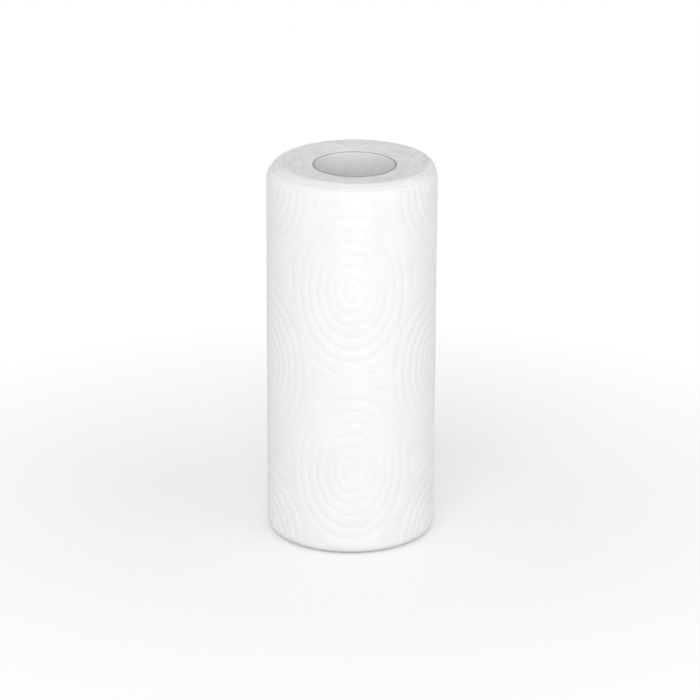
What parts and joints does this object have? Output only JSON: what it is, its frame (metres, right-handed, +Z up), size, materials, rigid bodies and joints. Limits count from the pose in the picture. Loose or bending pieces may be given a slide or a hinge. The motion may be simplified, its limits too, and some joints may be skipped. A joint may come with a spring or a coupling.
{
  "type": "paper towel roll",
  "caption": "Free-standing roll of embossed white kitchen paper wound on a thin cardboard tube with an open bore.",
  "frame": {"origin": "middle of the web's foot, on the surface the roll stands on", "axes": "+Z up along the roll's height; -Y is the side seen from in front; the web's tail is at the back"},
  "size_m": [0.0985, 0.0986, 0.225],
  "materials": {
    "tissue": "matte",
    "core_board": "matte"
  },
  "bodies": {
    "root": {"paper_web": "tissue", "cardboard_tube": "core_board"}
  },
  "joints": []
}
